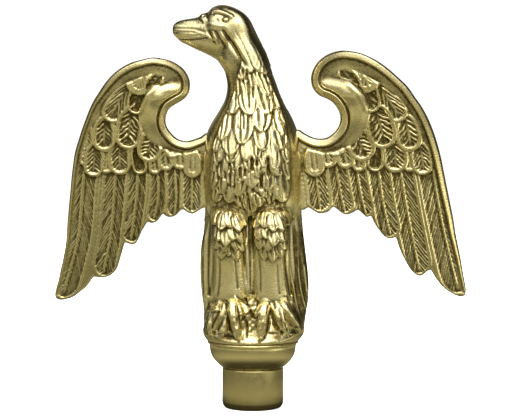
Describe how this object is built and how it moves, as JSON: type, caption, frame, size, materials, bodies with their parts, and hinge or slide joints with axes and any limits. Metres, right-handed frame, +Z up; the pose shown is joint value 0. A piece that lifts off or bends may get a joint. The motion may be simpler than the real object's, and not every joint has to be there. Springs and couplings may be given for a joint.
{
  "type": "flagpole ornament",
  "caption": "Spread-wing eagle perched on a rock, on a turned cup with a short round ferrule that slips over the top of a flagpole.",
  "frame": {"origin": "on the axis of the ferrule, in the plane of its open lower end", "axes": "+Z up the pole axis towards the eagle's head, the breast faces -Y, the wings spread along X and the head turns towards -X"},
  "size_m": [0.1819, 0.0437, 0.176],
  "materials": {
    "gold_cast": "bright gold plate over a sculpted casting",
    "gold_turned": "satin gold plate over turned metal",
    "zinc_steel": "zinc plated fasteners"
  },
  "bodies": {
    "root": {"eagle_front": "gold_cast", "eagle_back": "gold_cast", "wing_left": "gold_cast", "wing_right": "gold_cast", "neck_cup": "gold_turned", "ferrule_tube": "gold_turned", "tie_stud": "zinc_steel", "nut_lower": "zinc_steel", "nut_upper": "zinc_steel", "washer_lower": "zinc_steel", "washer_upper": "zinc_steel", "wing_pin_left_lower": "zinc_steel", "wing_pin_left_upper": "zinc_steel", "wing_pin_right_lower": "zinc_steel", "wing_pin_right_upper": "zinc_steel", "body_screw_lower": "zinc_steel", "body_screw_upper": "zinc_steel"}
  },
  "joints": []
}
